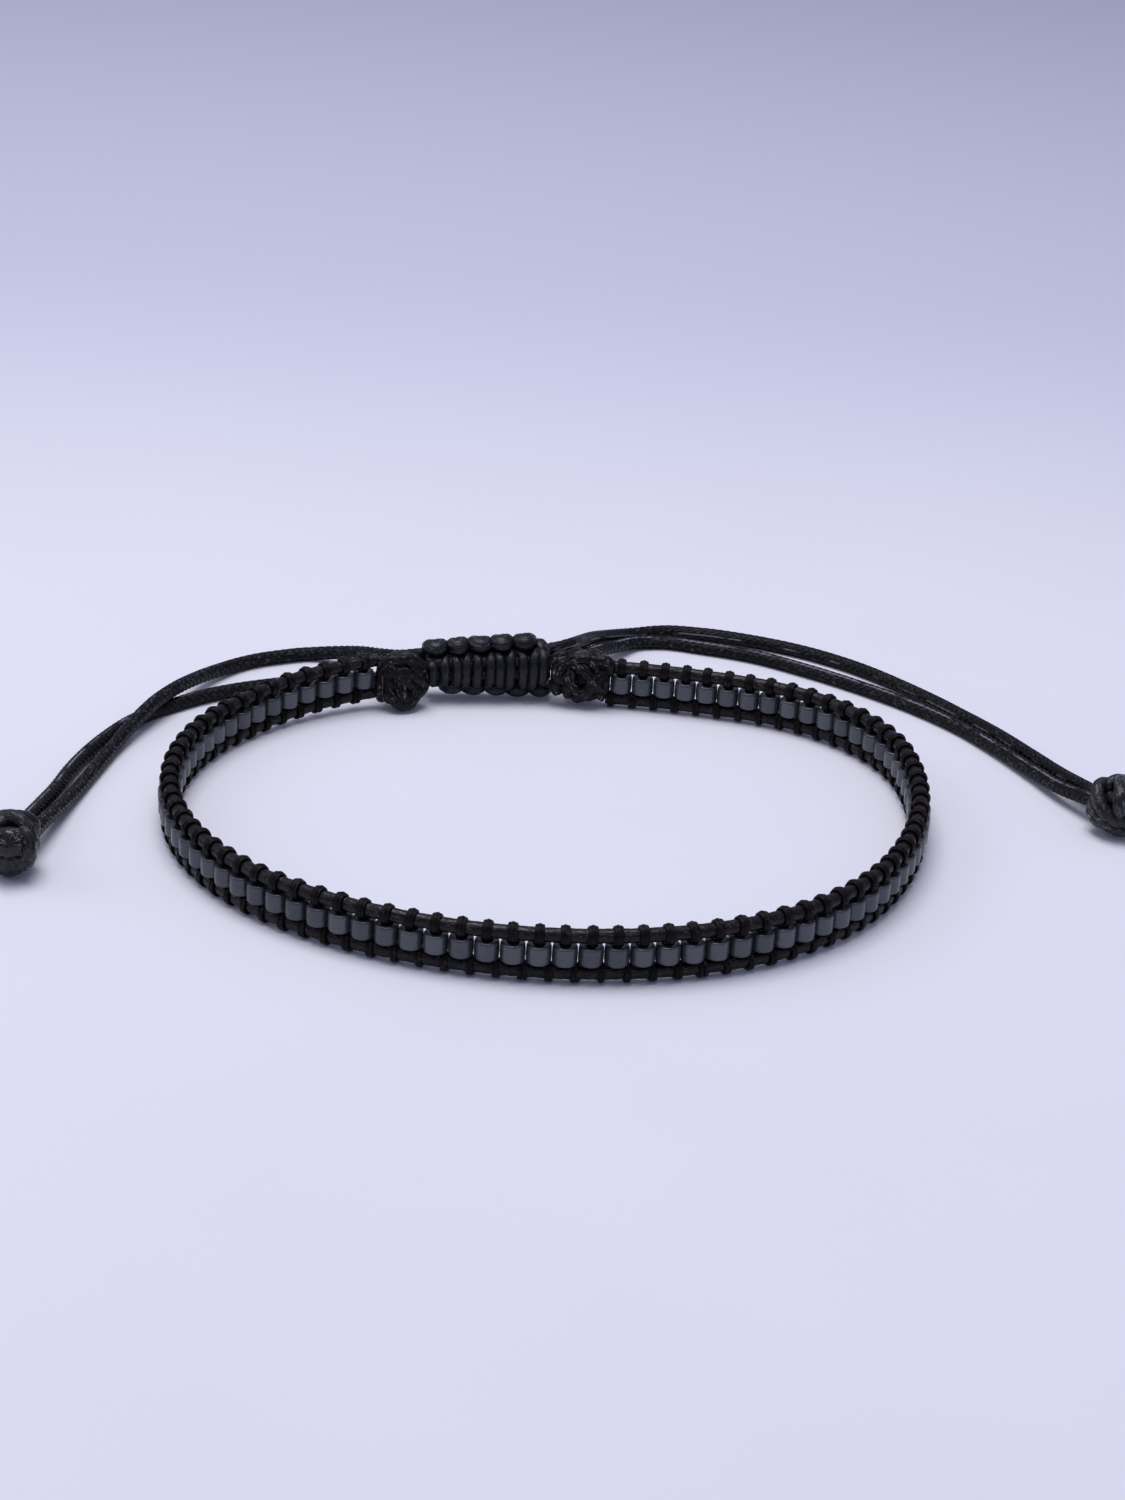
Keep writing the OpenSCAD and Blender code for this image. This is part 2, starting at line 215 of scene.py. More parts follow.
def linear(code):
    """An sRGB hex colour as linear RGBA.

    Each channel is divided by 12.92 if it is small, else it is the 2.4th power of the
    channel plus 0.055 over 1.055.
    """
    c = np.array([int(code[i : i + 2], 16) for i in (1, 3, 5)]) / 255
    return (*np.where(c < 0.04045, c / 12.92, ((c + 0.055) / 1.055) ** 2.4).tolist(), 1.0)


def add(material, kind, inputs=(), **settings):
    """Adds a node.

    The settings go to the node, and inputs gives each socket a value or the output
    socket it is linked to.
    """
    node = material.node_tree.nodes.new(kind)
    for key, value in settings.items():
        setattr(node, key, value)
    for key, value in dict(inputs).items():
        if isinstance(value, bpy.types.NodeSocket):
            material.node_tree.links.new(value, node.inputs[key])
        else:
            node.inputs[key].default_value = value
    return node


def waxed_cord(name, shaded_groove_colour, ridge, wax, roughness, gloss_index=1.25, fuzz=0.7, highlight_line_share=0.0):
    """Waxed braided polyester: black in the grooves as painted shade, a little lighter on the ridges.

    Where more wax was left, patches are smoother, and paler partly as painted highlight.
    Where the share given for the line is above 0, a broken pale line 0.15 mm wide is
    painted highlight at that share of the way round. The fibres are 0.02 mm thick in life,
    and are drawn 0.12 mm apart so that they show.
    """
    m = bpy.data.materials.new(name)
    m.use_nodes = True
    shader = m.node_tree.nodes["Principled BSDF"]
    relief = add(m, "ShaderNodeAttribute", attribute_name="relief").outputs["Fac"]
    melted = add(m, "ShaderNodeAttribute", attribute_name="melted").outputs["Fac"]
    tone = add(m, "ShaderNodeAttribute", attribute_name="tone").outputs["Fac"]
    place = add(m, "ShaderNodeTexCoord").outputs["Object"]
    strand = add(m, "ShaderNodeUVMap", uv_map="strand").outputs["UV"]
    # fibres: fine across the cord, long along it
    fine = add(m, "ShaderNodeMapping", {"Vector": strand, "Scale": (1.6, 26, 1)}).outputs[0]
    fibres = add(m, "ShaderNodeTexNoise", {"Vector": fine, "Scale": 1.0, "Detail": 2},
                 noise_dimensions="2D").outputs["Fac"]
    # wax patches about 0.4 mm long, broken up by the fibres, paler partly as painted highlight
    patches = add(m, "ShaderNodeTexNoise",
                  {"Vector": place, "Scale": 2300, "Detail": 3, "Roughness": 0.65}).outputs["Fac"]
    streaky = add(m, "ShaderNodeMath", {0: patches, 1: fibres}, operation="MULTIPLY").outputs[0]
    pale_wax_and_highlight = add(m, "ShaderNodeMapRange",
               {"Value": streaky, "From Min": 0.31, "From Max": 0.4}).outputs[0]
    # painted shade: the colour goes darker where the braid's relief is low, mixed with the fibres' own
    # tone
    mixed = add(m, "ShaderNodeMath", {0: relief, 1: fibres}, operation="MULTIPLY").outputs[0]
    shade = add(m, "ShaderNodeMapRange",
                {"Value": mixed, "From Min": 0.1, "From Max": 0.6}).outputs[0]
    body = add(m, "ShaderNodeMix", {0: shade, 6: linear(shaded_groove_colour), 7: linear(ridge)},
               data_type="RGBA").outputs[2]
    amount = add(m, "ShaderNodeMath", {0: pale_wax_and_highlight, 1: tone}, operation="MULTIPLY").outputs[0]
    colour = add(m, "ShaderNodeMix", {0: amount, 6: body, 7: linear(wax)},
                 data_type="RGBA").outputs[2]
    # painted highlight: a pale line along the cord at a fixed share of the way round
    if highlight_line_share:
        share = add(m, "ShaderNodeSeparateXYZ", {"Vector": strand}).outputs["Y"]
        away = add(m, "ShaderNodeMath", {0: share, 1: highlight_line_share}, operation="SUBTRACT").outputs[0]
        away = add(m, "ShaderNodeMath", {0: away}, operation="ABSOLUTE").outputs[0]
        line = add(m, "ShaderNodeMapRange",
                   {"Value": away, "From Min": 0.03, "From Max": 0.012}).outputs[0]
        # the painted highlight line breaks off every few millimetres
        breaks = add(m, "ShaderNodeTexNoise",
                     {"Vector": place, "Scale": 420, "Detail": 3}).outputs["Fac"]
        kept = add(m, "ShaderNodeMapRange",
                   {"Value": breaks, "From Min": 0.45, "From Max": 0.56}).outputs[0]
        line = add(m, "ShaderNodeMath", {0: line, 1: kept}, operation="MULTIPLY").outputs[0]
        colour = add(m, "ShaderNodeMix", {0: line, 6: colour, 7: linear("#77747B")},
                     data_type="RGBA").outputs[2]
    # smooth wax on the ridges, dull fibre in the grooves, and gloss where a flame melted it
    gloss = add(m, "ShaderNodeMapRange",
                {"Value": shade, "To Min": 0.42, "To Max": roughness}).outputs[0]
    gloss = add(m, "ShaderNodeMix", {0: amount, 2: gloss, 3: 0.2}).outputs[0]
    gloss = add(m, "ShaderNodeMix", {0: melted, 2: gloss, 3: 0.12}).outputs[0]
    lumps = add(m, "ShaderNodeTexNoise",
                {"Vector": place, "Scale": 2200, "Detail": 2}).outputs["Fac"]
    bumpy = add(m, "ShaderNodeMix", {0: melted, 2: fibres, 3: lumps}).outputs[0]
    bumpy = add(m, "ShaderNodeMath", {0: bumpy, 1: pale_wax_and_highlight}, operation="ADD").outputs[0]
    bump = add(m, "ShaderNodeBump",
               {"Height": bumpy, "Strength": fuzz, "Distance": 0.00004}).outputs[0]
    for key, socket in (("Base Color", colour), ("Roughness", gloss), ("Normal", bump)):
        m.node_tree.links.new(socket, shader.inputs[key])
    shader.inputs["IOR"].default_value = gloss_index
    return m


edge_braid = waxed_cord("waxed_braided_polyester_brown_black", "#010101", "#110C0F", "#5A5052",
                        roughness=0.12, gloss_index=1.34, fuzz=0.7)
# the cords run into the knots, 1.2 mm past the first bead and the last
CORD_START, CORD_END = 9.15, BAND - 9.2
# pulled tight along the band, their braid lies flatter
EDGE_DEPTH = BRAID_DEPTH * 0.4
for name, height in (("upper", HIGH), ("lower", LOW)):
    s = np.linspace(CORD_START, CORD_END, 1800)
    # neither lies dead straight: they wander by about 0.02 mm
    wander = 0.012 * np.sin(s * 2.1 + height) + 0.01 * np.sin(s * 5.3)
    path = on_band(np.stack([s, wander, height + 0 * s], -1))
    grid = tube(path, UP, CORD / 2, CORD / 2, 24, EDGE_DEPTH)
    piece(f"{name}_edge_braid", [grid], edge_braid, f"{name}_edge_cord")

# Beads. 84 cylinder beads of matte gunmetal glass, about 1.6 mm across and 1.35 mm long,
# cut from drawn tube and tumbled so that their rims are round. The metal film is etched
# matte, so each shows two soft upright bands of light, and no two are quite alike.
BEAD_LEN = 1.35
BEAD_Z = LOW + CORD / 2 + 0.15
RIM = [
    # radius, height above the bead's foot, from the middle of the side to the bore; the
    # side swells 0.05 mm over its solid, because neighbours nearly touch
    [0.852, 0.62], [0.849, 0.4], [0.843, 0.24], [0.835, 0.14], [0.818, 0.075],
    [0.79, 0.03], [0.75, 0.006], [0.7, 0], [0.46, 0], [0.41, 0.03], [0.4, 0.1],
]
rim = np.array(RIM)
profile = np.concatenate([rim, np.array([1, -1]) * rim[::-1] + np.array([0, BEAD_LEN])])
spin = 2 * np.pi * np.arange(28) / 28
k = np.arange(BEADS)
# each bead leans, is thinner and is longer or shorter by its own hundredth or so
lean = rng.normal(0, 0.008, (2, BEADS, 1, 1))
fat = 1 - np.abs(rng.normal(0, 0.006, (BEADS, 1, 1))).clip(0, 0.02)
tall = 1 + rng.normal(0, 0.012, (BEADS, 1, 1)).clip(-0.02, 0.02)
r = profile[:, 0] * fat
z = (profile[:, 1] - BEAD_LEN / 2) * tall
bead_middle = (BEAD_Z + BEAD_LEN / 2 + rise_at(FIRST_BEAD + PITCH * k))[:, None, None]
x = r * np.cos(spin)[:, None] + z * lean[0]
y = r * np.sin(spin)[:, None] + z * lean[1]
middle, along, inward = (v[:, None, None] for v in band(FIRST_BEAD + PITCH * k))
walls = middle + x[..., None] * along + y[..., None] * inward + (z + bead_middle)[..., None] * UP
plain = np.full(walls.shape[:3] + (1,), 0.5)
bead_grid = np.concatenate([walls, plain, 0 * plain], -1)

# a thin metal film over glass: half a metal, with a soft gloss
glass = bpy.data.materials.new("etched_gunmetal_glass")
glass.use_nodes = True
shader = glass.node_tree.nodes["Principled BSDF"]
tone = add(glass, "ShaderNodeAttribute", attribute_name="tone").outputs["Fac"]
place = add(glass, "ShaderNodeTexCoord").outputs["Object"]
colour = add(glass, "ShaderNodeMix", {0: tone, 6: linear("#41454A"), 7: linear("#565A5F")},
             data_type="RGBA").outputs[2]
# etching clouds of about half a millimetre
clouds = add(glass, "ShaderNodeTexNoise",
             {"Vector": place, "Scale": 1800, "Detail": 4, "Roughness": 0.6}).outputs["Fac"]
paler = add(glass, "ShaderNodeMapRange",
            {"Value": clouds, "From Min": 0.35, "From Max": 0.75, "To Max": 0.25}).outputs[0]
colour = add(glass, "ShaderNodeMix", {0: paler, 6: colour, 7: linear("#5C5F64")},
             data_type="RGBA").outputs[2]
# fine lines round the bead, 0.08 mm apart, left by drawing and tumbling
ring_map = add(glass, "ShaderNodeMapping",
               {"Vector": place, "Scale": (300, 300, 12000)}).outputs[0]
ring_lines = add(glass, "ShaderNodeTexNoise",
                 {"Vector": ring_map, "Scale": 1.0, "Detail": 2}).outputs["Fac"]
bump = add(glass, "ShaderNodeBump",
           {"Height": ring_lines, "Strength": 0.25, "Distance": 0.00002}).outputs[0]
matte = add(glass, "ShaderNodeMapRange",
            {"Value": clouds, "To Min": 0.24, "To Max": 0.3}).outputs[0]
for key, socket in (("Base Color", colour), ("Roughness", matte), ("Normal", bump)):
    glass.node_tree.links.new(socket, shader.inputs[key])
shader.inputs["Metallic"].default_value = 0.55
piece("cylinder_beads", [bead_grid], glass, "beads", closed=[0])

# Lacing thread. A black waxed thread, 0.3 mm thick, comes down through a bead, crosses
# over the lower cord to the gap beside it, goes twice round that cord, up through the
# next bead and three times round the upper cord, the third time on top of the others.
# half the width of the thread where it is pressed flat round a cord
THREAD = 0.16
# radii of a turn's inner and outer side, and how far the flat end of a bead lets it reach
TURN_INSIDE, TURN_OUTSIDE, BEAD_END = 0.505, 0.7, 0.635
# two turns side by side stand this far to either side of their middle
BESIDE = 0.17
# the lower turns stand this far along the band from their bead
LAG = 0.42 * PITCH
# the two passes inside a bead: their radius, and their distance from its axis
PASS, PASS_SIDE = 0.15, 0.14


def turn_radius(angle, most):
    """Outer radius of a turn, at an angle from the bead's side.

    It is the most it may be, or less where the turn has to stay clear of the bead's flat
    end: that end's distance from the cord's middle over the cosine of the angle.
    """
    return np.minimum(most, BEAD_END / np.maximum(np.cos(angle), 0.2))


def ease(t):
    """A smooth step from 0 to 1: three times t squared less twice t cubed."""
    t = np.clip(t, 0, 1)
    return t * t * (3 - 2 * t)


def thread_turns(angle, shift, height, side, most):
    """Strands of thread round a cord, one for each bead, shifted along from its place.

    The centre line runs halfway between the turn's inner and outer radius, at the angle
    from the bead's side, and the thread is pressed to what lies between them.
    """
    outer = np.broadcast_to(turn_radius(angle, most), shift.shape)
    mid, half = (outer + TURN_INSIDE) / 2, (outer - TURN_INSIDE) / 2
    s = FIRST_BEAD + PITCH * k[:, None] + shift
    core = on_band(np.stack([s, 0 * mid, height + 0 * mid], -1))
    path = on_band(np.stack([s, -mid * np.sin(angle), height + side * mid * np.cos(angle)], -1))
    return tube(path, path - core, THREAD, half, 8)


lean = rng.normal(0, 0.035, (BEADS, 1))
# above, the second turn lies beside the first and the last climbs on top of both
angle = np.linspace(0.15, 6 * np.pi - 0.15, 68)
last = ease((angle - 3.5 * np.pi) / (0.8 * np.pi))
upper_shift = -BESIDE + 2 * BESIDE * ease((angle - 1.6 * np.pi) / (0.8 * np.pi))
upper_shift = upper_shift - BESIDE * last - lean * np.cos(angle)
upper_turns = thread_turns(angle, upper_shift, HIGH, -1, TURN_OUTSIDE + 0.055 * last)
# below, two turns lie side by side in the gap, and the end runs on under the next bead
angle = np.append(np.linspace(0, 4 * np.pi, 50), np.full(4, 4 * np.pi))
lower_shift = (LAG - 0.12) * ease(angle / (0.35 * np.pi))
lower_shift = lower_shift + 0.24 * ease((angle - 1.7 * np.pi) / (0.9 * np.pi))
run_on = np.append(np.zeros(50), [0.12, 0.25, 0.4, 0.6])
lower_shift = lower_shift + run_on + lean * np.sin(angle / 2)
lower_turns = thread_turns(angle, lower_shift, LOW, 1, TURN_OUTSIDE)
heights = np.linspace(BEAD_Z - 0.1, BEAD_Z + BEAD_LEN + 0.1, 4)
passes = []
for side in (-PASS_SIDE, PASS_SIDE):
    s = np.broadcast_to(FIRST_BEAD + PITCH * k[:, None] + side, (BEADS, 4))
    path = on_band(np.stack([s, 0 * s, heights + 0 * s], -1))
    passes.append(tube(path, band(s)[2], PASS, PASS, 8))
thread_wax = waxed_cord("black_waxed_thread", "#020101", "#1B1114", "#5A4A4E",
                        roughness=0.26, gloss_index=1.22)
piece("lacing", [upper_turns, lower_turns, *passes], thread_wax, "lacing_thread")

# Band knots. Where the row of beads ends, the two edge cords are tied together in an
# overhand knot, drawn up tight, and run on side by side into the closure. Each knot is
# as tall as the band, and the wax has rubbed up pale in patches, partly painted highlight.


def placed(points, s, inward=0.0):
    """Points given along the band's direction at s, inward and up, in the bracelet's frame."""
    middle, along, inside = band(s)
    across = (inward + points[..., 1:2]) * inside
    return middle + points[..., :1] * along + across + points[..., 2:3] * UP


def overhand(long, wide, tall, radius, turn=0.0):
    """The drawn-up loops of an overhand knot in a doubled cord, as two closed strands.

    The pair's middle winds twice round the knot's axis while it winds three times round
    its own ring, so at angle a round the axis the ring angle is 1.5 a. The ring is 0.38
    of the reach wide and 0.9 of it long, with its middle at 0.62 of the reach, and the
    two strands lie 0.46 mm to either side of the pair's middle.
    """
    a = np.linspace(0, 4 * np.pi, 400, endpoint=False)
    ring = 1.5 * a + turn
    spoke = np.stack([0 * a, np.cos(a), np.sin(a)], -1)
    axis = np.array([1.0, 0, 0])
    out = np.cos(ring)[:, None] * spoke + np.sin(ring)[:, None] * axis
    reach = np.array([long, wide, tall]) - radius
    centre = (0.62 + 0.38 * np.cos(ring))[:, None] * spoke + 0.9 * np.sin(ring)[:, None] * axis
    middle = centre * reach
    slope = unit(np.roll(middle, -1, 0) - np.roll(middle, 1, 0))
    side = unit(np.cross(out, slope))
    return [(middle + 0.46 * way * side, out) for way in (-1, 1)]


def ring_tube(path, outward, radius, sides):
    """A closed tube.

    The path is taken a step past both ends, so that its slope joins up, and cut back.
    """
    path = np.concatenate([path[-1:], path, path[:1]])
    outward = np.concatenate([outward[-1:], outward, outward[:1]])
    return tube(path, outward, radius, radius, sides, BRAID_DEPTH)[:, 1:-1]


def curve(points, step=0.07):
    """A smooth line through the points, at even steps.

    Between two of them it is the cubic that has, at each, the slope of the parabola
    through it and its neighbours.
    """
    points = np.array(points, float)
    t = distances(points)
    slope = np.gradient(points, t, axis=0)
    fine = np.linspace(0, t[-1], int(t[-1] / 0.02))
    i = np.clip(np.searchsorted(t, fine, side="right") - 1, 0, len(t) - 2)
    gap = (t[i + 1] - t[i])[:, None]
    f = (fine[:, None] - t[i][:, None]) / gap
    line = (2 * f**3 - 3 * f**2 + 1) * points[i] + (f**3 - 2 * f**2 + f) * gap * slope[i]
    line = line + (3 * f**2 - 2 * f**3) * points[i + 1] + (f**3 - f**2) * gap * slope[i + 1]
    far = distances(line)
    even = np.linspace(0, far[-1], max(6, int(far[-1] / step)))
    return np.stack([np.interp(even, far, line[:, j]) for j in range(3)], -1)


KNOTS = [
    # name, s, inward, middle's height, side of the closure, reach towards it, ring start
    ["left", 7.4, 0.3, 2.45, -1, 1.9, 0.4],
    ["right", -7.45, -0.1, 2.5, 1, 2.45, 2.0],
]
KNOT_LOOPS = {
    # the loops seen on the inner face, as points along, inward and up
    "left": [
        [[1.5, 0.2, 3.3], [1.1, 0.55, 4.05], [0.1, 0.6, 4.15], [-1.0, 0.5, 3.9], [-1.7, 0.1, 3.2]],
        [[1.35, 0.5, 3.1], [0.6, 0.95, 3.25], [-0.3, 1.0, 3.1], [-1.2, 0.95, 2.55],
         [-1.75, 0.7, 1.9], [-1.2, 0.9, 1.3], [-0.4, 1.1, 1.1]],
        [[1.2, 0.5, 2.4], [0.95, 1.1, 1.5], [0.35, 1.35, 0.75], [-0.35, 1.35, 0.68],
         [-0.95, 1.15, 1.3], [-1.1, 0.6, 2.3]],
        [[0.5, 0.8, 2.9], [0.35, 1.15, 2.1], [0.1, 1.35, 1.3], [-0.2, 1.2, 0.8]],
        [[1.4, 0.1, 3.5], [1.6, 0.45, 2.5], [1.6, 0.4, 1.5], [1.4, 0.1, 0.85]],
    ],
    "right": [
        [[1.75, 0.3, 3.4], [1.2, 0.7, 3.95], [0.4, 0.8, 4.15], [-0.4, 0.8, 4.05], [-0.8, 0.6, 3.3]],
        [[-0.5, 0.4, 3.4], [-0.95, 0.8, 4.0], [-1.5, 0.75, 4.05], [-1.95, 0.45, 3.4],
         [-1.6, 0.1, 2.7]],
        [[1.2, 0.3, 3.7], [1.8, 0.7, 3.5], [2.2, 0.85, 2.95], [2.05, 0.9, 2.45], [1.4, 0.7, 2.35]],
        [[-1.7, 0.4, 3.3], [-1.15, 0.95, 2.7], [-0.5, 1.15, 1.9], [0.1, 1.05, 1.15],
         [0.6, 0.5, 0.75]],
        [[2.2, 0.4, 2.4], [2.25, 0.7, 1.8], [2.1, 0.4, 1.1]],
        [[1.25, 0.7, 2.4], [1.3, 1.0, 1.75], [1.15, 0.55, 0.95]],
        [[2.5, 0.0, 3.0], [2.4, 0.3, 3.75], [1.9, 0.35, 4.1], [1.2, 0.1, 3.9]],
        [[-1.35, 0.1, 3.5], [-1.5, 0.5, 2.5], [-1.5, 0.45, 1.5], [-1.3, 0.1, 0.85]],
    ],
}
knot_braid = waxed_cord("waxed_braided_polyester_knotted", "#020202", "#1C191B", "#8A8084",
                        roughness=0.26)
for name, s, inward, height, way, reach, start in KNOTS:
    axes = np.stack([*band(s)[1:], UP])
    grids = []
    for path, out in overhand(1.75, 1.55, 2.15, 0.5, start):
        grids.append(ring_tube(placed(path + height * UP, s, inward), out @ axes, 0.5, 20))
    # the edge cords run in from the beads and bend together
    for h in (LOW, HIGH):
        middle = height + np.sign(h - height) * 0.5
        edge = h + rise_at(CORD_START) * (way < 0)
        path = curve([[-way * 1.68, 0, edge], [-way * 1.2, 0, 0.8 * edge + 0.2 * middle],
                      [-way * 0.5, 0, middle], [0, 0, middle]])
        grids.append(tube(placed(path, s, inward), UP, 0.49, 0.49, 20, BRAID_DEPTH))
    # the same two run on to the closure
    for h in (-0.55, 0.55):
        path = curve([[0, 0.1, height + h], [way * 0.9, 0.2, height + h],
                      [way * reach, 0.25, height + h]])
        grids.append(tube(placed(path, s, inward), UP, 0.5, 0.5, 20, BRAID_DEPTH))
    for loop in KNOT_LOOPS[name]:
        path = curve(loop)
        away = path - np.array([0, 0, height])
        grids.append(tube(placed(path, s, inward), away @ axes, 0.52, 0.52, 20, BRAID_DEPTH))
    piece(f"{name}_band_overhand", grids, knot_braid, f"{name}_band_knot",
          closed=[0, 1])

# Sliding closure. A row of square knots, eleven half knots of 1 mm cord tied round the
# four cords that run through it, so that the bracelet can be drawn wider or closer. One
# cord makes the upright bars on the inner face, the other those on the outer face, and
# in turns they round the upper and the lower edge as fat lumps.
HALF_KNOTS, CLOSURE_LEN, CLOSURE_MID, CLOSURE_IN = 11, 10.1, 0.2, -0.64
# at the closure's right and left end: half its height, and the height of its middle
HALF_HEIGHTS, MIDDLES = (2.82, 2.27), (2.87, 2.68)
HALF_THICK = 1.65
# heights of the core cords' middle at the right end, in the middle and at the left end,
# and how far they stand apart from it
CORE_HEIGHTS, CORE_APART = (2.95, 2.8, 2.65), 0.52
# thick with wax, this cord shows its braid less
FILLED_DEPTH = 0.045


def bent(v, power):
    """The power of a number's size, with its sign."""
    return np.sign(v) * np.abs(v) ** power


def between(ends, share):
    """A value between two: the first times one minus the share, plus the second times it."""
    return ends[0] * (1 - share) + ends[1] * share


def half_knot_line(swing, face, margins, slant):
    """A cord that zigzags over one face, its outward direction and how near an edge it is.

    At t half knots it stands at swing times the cosine of pi t, flattened by the power
    of three quarters, round a rounded box, from one edge to the other. It moves along in
    steps that rest on each bar. One minus the third power of that sine says how near it
    is to an edge, where it is pressed fat, and over its first and last half knot it
    sinks into the core.
    """
    t = np.linspace(0, HALF_KNOTS, 560)
    x = CLOSURE_LEN * ((t + np.sin(2 * np.pi * t) / (2 * np.pi)) / HALF_KNOTS - 0.5)
    share = 0.5 + x / CLOSURE_LEN
    half = between(HALF_HEIGHTS, share) * (1 - 0.08 * np.abs(2 * share - 1) ** 8)
    middle = between(MIDDLES, share)
    angle = np.radians(swing) * bent(np.cos(np.pi * t), 0.75)
    y = face * (HALF_THICK - CORD / 2) * bent(np.cos(angle), 0.75)
    rise = (half - np.where(angle > 0, *margins)) * bent(np.sin(angle), 0.9)
    tucked = 0.4 + 0.6 * ease(np.minimum(t, HALF_KNOTS - t) / 0.5)
    y, rise = tucked * y, tucked * rise
    # no two half knots are drawn up quite alike
    uneven = 0.06 * np.sin(1.9 * t + 0.8) + 0.04 * np.sin(4.3 * t)
    along = CLOSURE_MID + x * 0.955 + slant * rise + uneven
    path = np.stack([along, y, middle + rise * (1 + 0.3 * uneven)], -1)
    core = np.stack([along, 0 * y, middle + 0.6 * rise], -1)
    return path, path - core, 1 - np.abs(np.sin(np.pi * t)) ** 3


closure_wax = waxed_cord("waxed_cord_black_macrame", "#020203", "#202329", "#7C8088",
                         roughness=0.22, gloss_index=1.36, fuzz=0.8)
HALF_KNOT_CORDS = [
    # swing, face, margins above and below, slant, half width and half thickness, and how
    # much more of each at the edges
    [-85, 1, (1.6, 1.1), 0.0, 0.45, 0.48, 0.0, 0.0],
    [92, -1, (0.68, 0.68), 0.14, 0.5, 0.5, 0.36, 0.13],
]
axes = np.stack([*band(0)[1:], UP])
grids = []
for swing, face, margins, slant, wide, thick, wider, thicker in HALF_KNOT_CORDS:
    path, out, edge = half_knot_line(swing, face, margins, slant)
    wide, thick = wide + wider * edge, thick + thicker * edge
    grids.append(tube(placed(path, 0, CLOSURE_IN), out @ axes, wide, thick, 24, FILLED_DEPTH))
for y in (-CORE_APART, CORE_APART):
    for z in (-CORE_APART, CORE_APART):
        path = curve([[x, y, h + z] for x, h in zip((-4.7, 0.2, 5.1), CORE_HEIGHTS)], 0.3)
        grids.append(tube(placed(path, 0, CLOSURE_IN), UP, CORD / 2, CORD / 2, 16))
# the tails, 1.05 mm thick, come out of its end faces towards the outer side
TAIL, EXIT_IN = 1.05, -1.44
EXITS = {
    # end of the closure, 1 left and -1 right, and the height of the cord's underside
    "left_outer_tail": (1, 2.85),
    "left_inner_tail": (1, 1.75),
    "right_outer_tail": (-1, 3.35),
    "right_inner_tail": (-1, 2.25),
}
# their first 0.15 mm, and 1 mm inside the closure, belong to its piece
STUB = np.array([-1.0, 0.15])
for side, lift in EXITS.values():
    inside, outside = CLOSURE_MID + side * (CLOSURE_LEN / 2 + STUB)
    middle = lift + TAIL / 2
    path = curve([[inside, -1.1, middle], [(inside + outside) / 2, -1.36, middle],
                  [outside, EXIT_IN, middle]])
    grids.append(tube(placed(path, 0), UP, 0.52, 0.52, 20, FILLED_DEPTH))
piece("square_knot_closure", grids, closure_wax, "sliding_closure")

# Tails. The ends of the two band cords come out of the closure's far ends and lie loose
# on the surface, 1.05 mm thick over their wax. Each pair ends in one knot. Along each
# tail runs a pale line of painted highlight.
ROUTES = {
    # x, y and the height of the cord's underside
    "right_outer_tail": [
        [0, 24.5, 3.45], [0.9, 25.05, 3.55], [1.4, 26.2, 3.3], [2, 28.6, 2.6],
        [2.85, 31.3, 1.85], [4.3, 34.25, 0.95], [6.3, 36.9, 0.2], [8.6, 38.3, 0],
        [12, 38.3, 0], [16.2, 37.3, 0], [20.5, 35.5, 0], [24.7, 32.6, 0],
        [28.6, 28.6, 0], [32.4, 23.8, 0], [35, 19.7, 0.15], [37.2, 15.5, 0.3],
        [39, 11.5, 0.6], [40.4, 8.4, 1]],
    "right_inner_tail": [
        [0, 24.5, 2.3], [0.95, 25.1, 2.35], [1.65, 26.3, 2.15], [2.42, 28.35, 1.62],
        [3.5, 30.7, 1.08], [4.95, 33.25, 0.5], [6.5, 35.3, 0.1], [8.6, 35.9, 0],
        [11.8, 35.3, 0], [16.1, 34, 0], [20.3, 31.6, 0], [24.4, 28.7, 0],
        [28.4, 25.3, 0], [32.2, 21, 0], [34.8, 16.8, 0.1], [37, 12.5, 0.3],
        [38.6, 9.1, 0.6], [39.75, 7.1, 0.95]],
    "left_outer_tail": [
        [-11.1, 22.95, 2.8], [-12.3, 23.4, 2.45], [-13.9, 24.8, 1.9], [-15.8, 26.8, 1.2],
        [-17.6, 28.3, 0.5], [-19.6, 28.9, 0.05], [-22.4, 27.9, 0], [-25, 26.2, 0],
        [-27, 23.6, 0.2], [-28.4, 20.5, 0.65], [-29.6, 17.2, 1.05], [-30.7, 14.3, 1.05],
        [-31.7, 11.6, 0.65], [-32.6, 8.5, 0.2], [-33.5, 3.9, 0], [-34.4, -1.6, 0.15],
        [-35, -5.9, 0.7], [-35.4, -8.8, 1.1]],
    "left_inner_tail": [
        [-11.1, 22.95, 1.6], [-12.5, 23.1, 0.9], [-14.3, 23.6, 0.35], [-16.8, 23.8, 0],
        [-19.6, 23.1, 0], [-22.1, 22, 0], [-24.8, 20.6, 0], [-27.5, 18.7, 0],
        [-29.2, 17, 0], [-30.8, 15.1, 0], [-32.3, 12.8, 0], [-33.6, 9.7, 0],
        [-34.6, 6.4, 0], [-35.2, 3.2, 0.1], [-35.6, -0.6, 0.3], [-36.1, -4.6, 0.7],
        [-36.5, -8.2, 1.1]],
}
# the braid's ridges stand this far over the cord's mean surface, and its grooves go
# this deep from them
RIDGE, GROOVE = 0.03, 0.095
# x, y and heading of the cords that run into each end knot, and the place of its neck:
# distance before the knot's middle, distance to either side, height of the underside
END_KNOTS = {"left": (-36.7, -12.8, -104), "right": (42.1, 4.1, -60)}
NECK_OUT, NECK_SIDE, NECK_LIFT = 2.32, 0.54, 1.2
